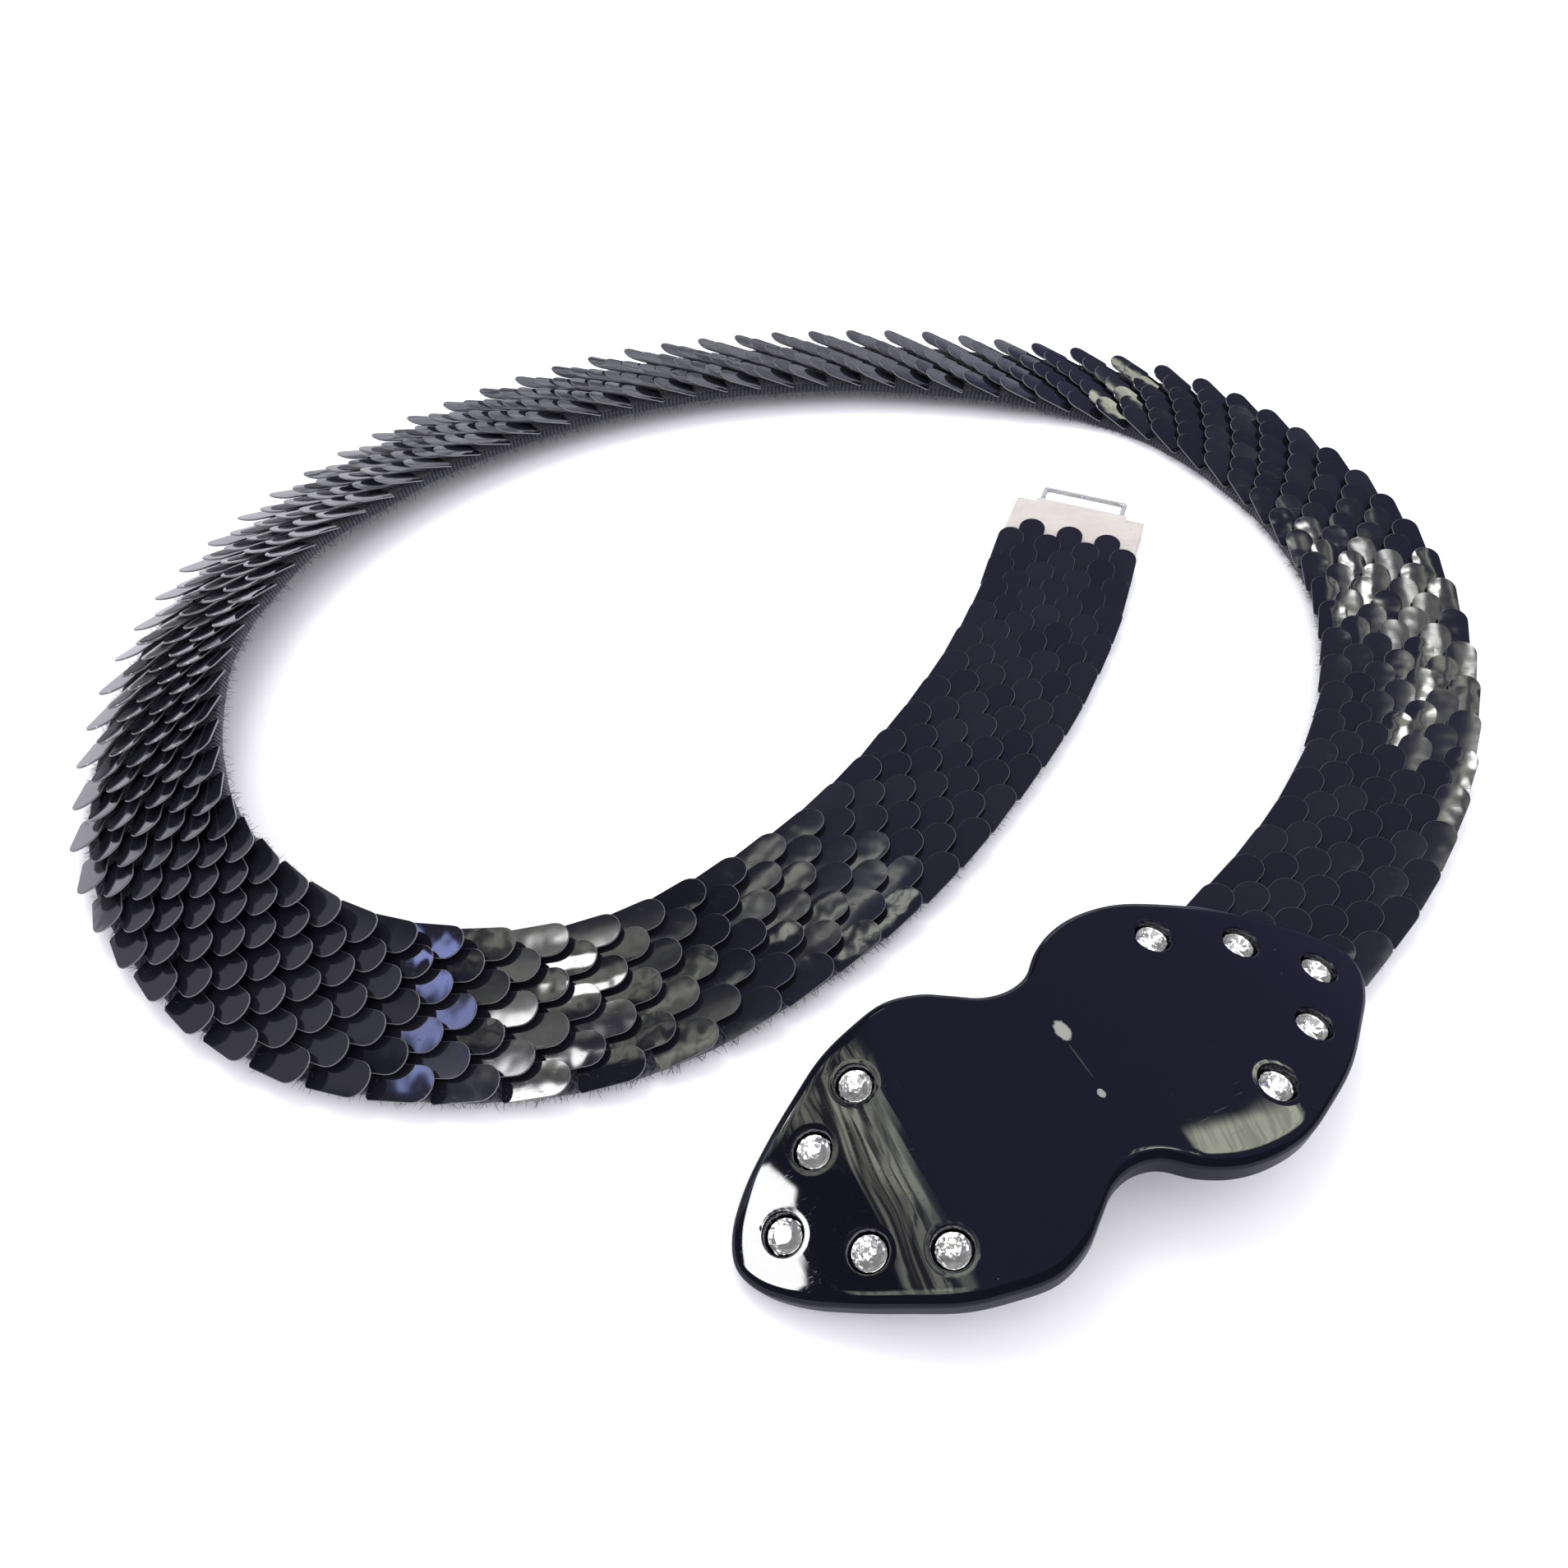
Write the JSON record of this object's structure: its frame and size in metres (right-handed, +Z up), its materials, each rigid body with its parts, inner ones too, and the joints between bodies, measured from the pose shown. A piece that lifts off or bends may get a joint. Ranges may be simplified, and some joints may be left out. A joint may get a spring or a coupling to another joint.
{
  "type": "medallion stretch belt",
  "caption": "Black stretch belt covered in overlapping scales, with a bowed two-lobed medallion set with stones and a metal hook loop at its tail, lying open.",
  "frame": {"origin": "centre of the laid belt's footprint, on the table", "axes": "+Z up from the table; +X to the viewer's right and +Y away from the viewer in the picture; the medallion lies at -Y"},
  "size_m": [0.2869, 0.2772, 0.0172],
  "materials": {
    "knit": "black ribbed knit elastic with a fuzzy edge, matt",
    "scales": "stiff thin moulded plastic, black with a navy tinge, high gloss, brownish where thin at the edge",
    "acrylic": "polished black acrylic sheet, heat bent, rounded rim, a few fine scratches and glue marks",
    "stones": "clear cut glass with a silver foil back",
    "catch_steel": "plain bent steel strip",
    "plate_steel": "pale warm silver satin plating, bright wire loop"
  },
  "bodies": {
    "root": {"knit_band": "knit", "scales_head": "scales", "scales_tail": "scales", "medallion": "acrylic", "stone_01": "stones", "stone_02": "stones", "stone_03": "stones", "stone_04": "stones", "stone_05": "stones", "stone_06": "stones", "stone_07": "stones", "stone_08": "stones", "stone_09": "stones", "stone_10": "stones", "back_catch": "catch_steel", "end_plate": "plate_steel"}
  },
  "joints": []
}
